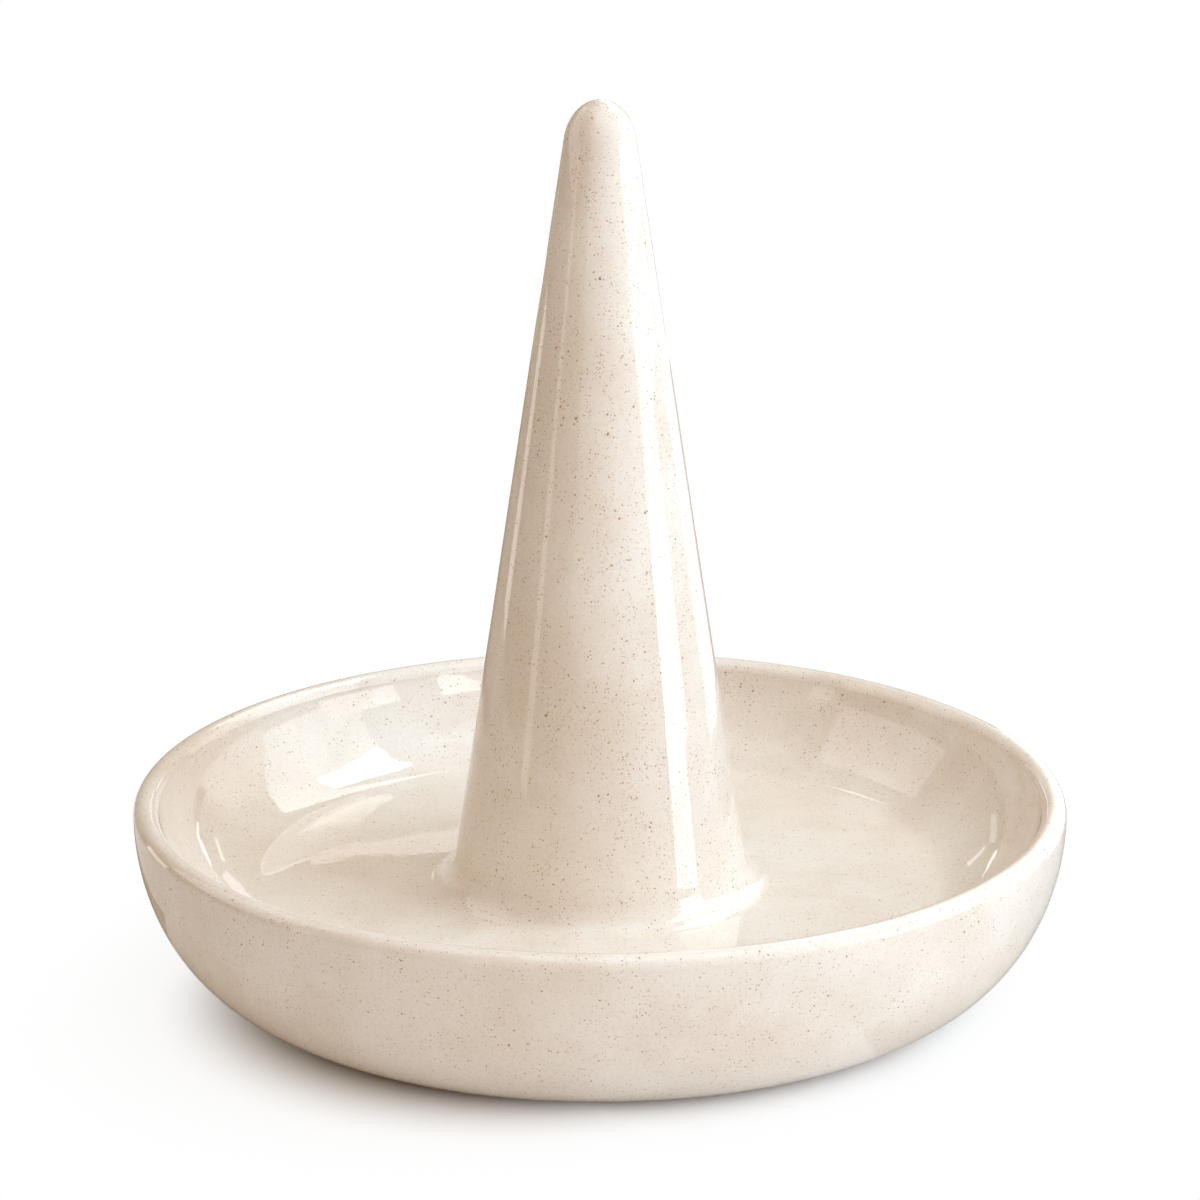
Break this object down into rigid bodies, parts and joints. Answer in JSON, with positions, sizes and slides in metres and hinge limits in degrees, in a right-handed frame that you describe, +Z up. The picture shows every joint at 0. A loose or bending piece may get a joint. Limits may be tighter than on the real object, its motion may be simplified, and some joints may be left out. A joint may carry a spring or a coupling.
{
  "type": "ring cone",
  "caption": "Glossy speckled stoneware ring holder: a tall round-tipped cone for finger rings, standing in a low round dish with a rolled lip and a foot ring.",
  "frame": {"origin": "centre of the foot ring, on the surface that the dish stands on", "axes": "+Z up along the axis of the cone; the part is round, so X and Y are free"},
  "size_m": [0.11, 0.11, 0.1038],
  "materials": {
    "dish_glaze": "glossy cream glaze with fine brown specks, bare clay on the foot ring",
    "cone_glaze": "glossy cream glaze with fine brown specks",
    "coil_glaze": "glossy cream glaze, pooled a little in the cove"
  },
  "bodies": {
    "root": {"dish": "dish_glaze", "cone": "cone_glaze", "joint_coil": "coil_glaze"}
  },
  "joints": []
}
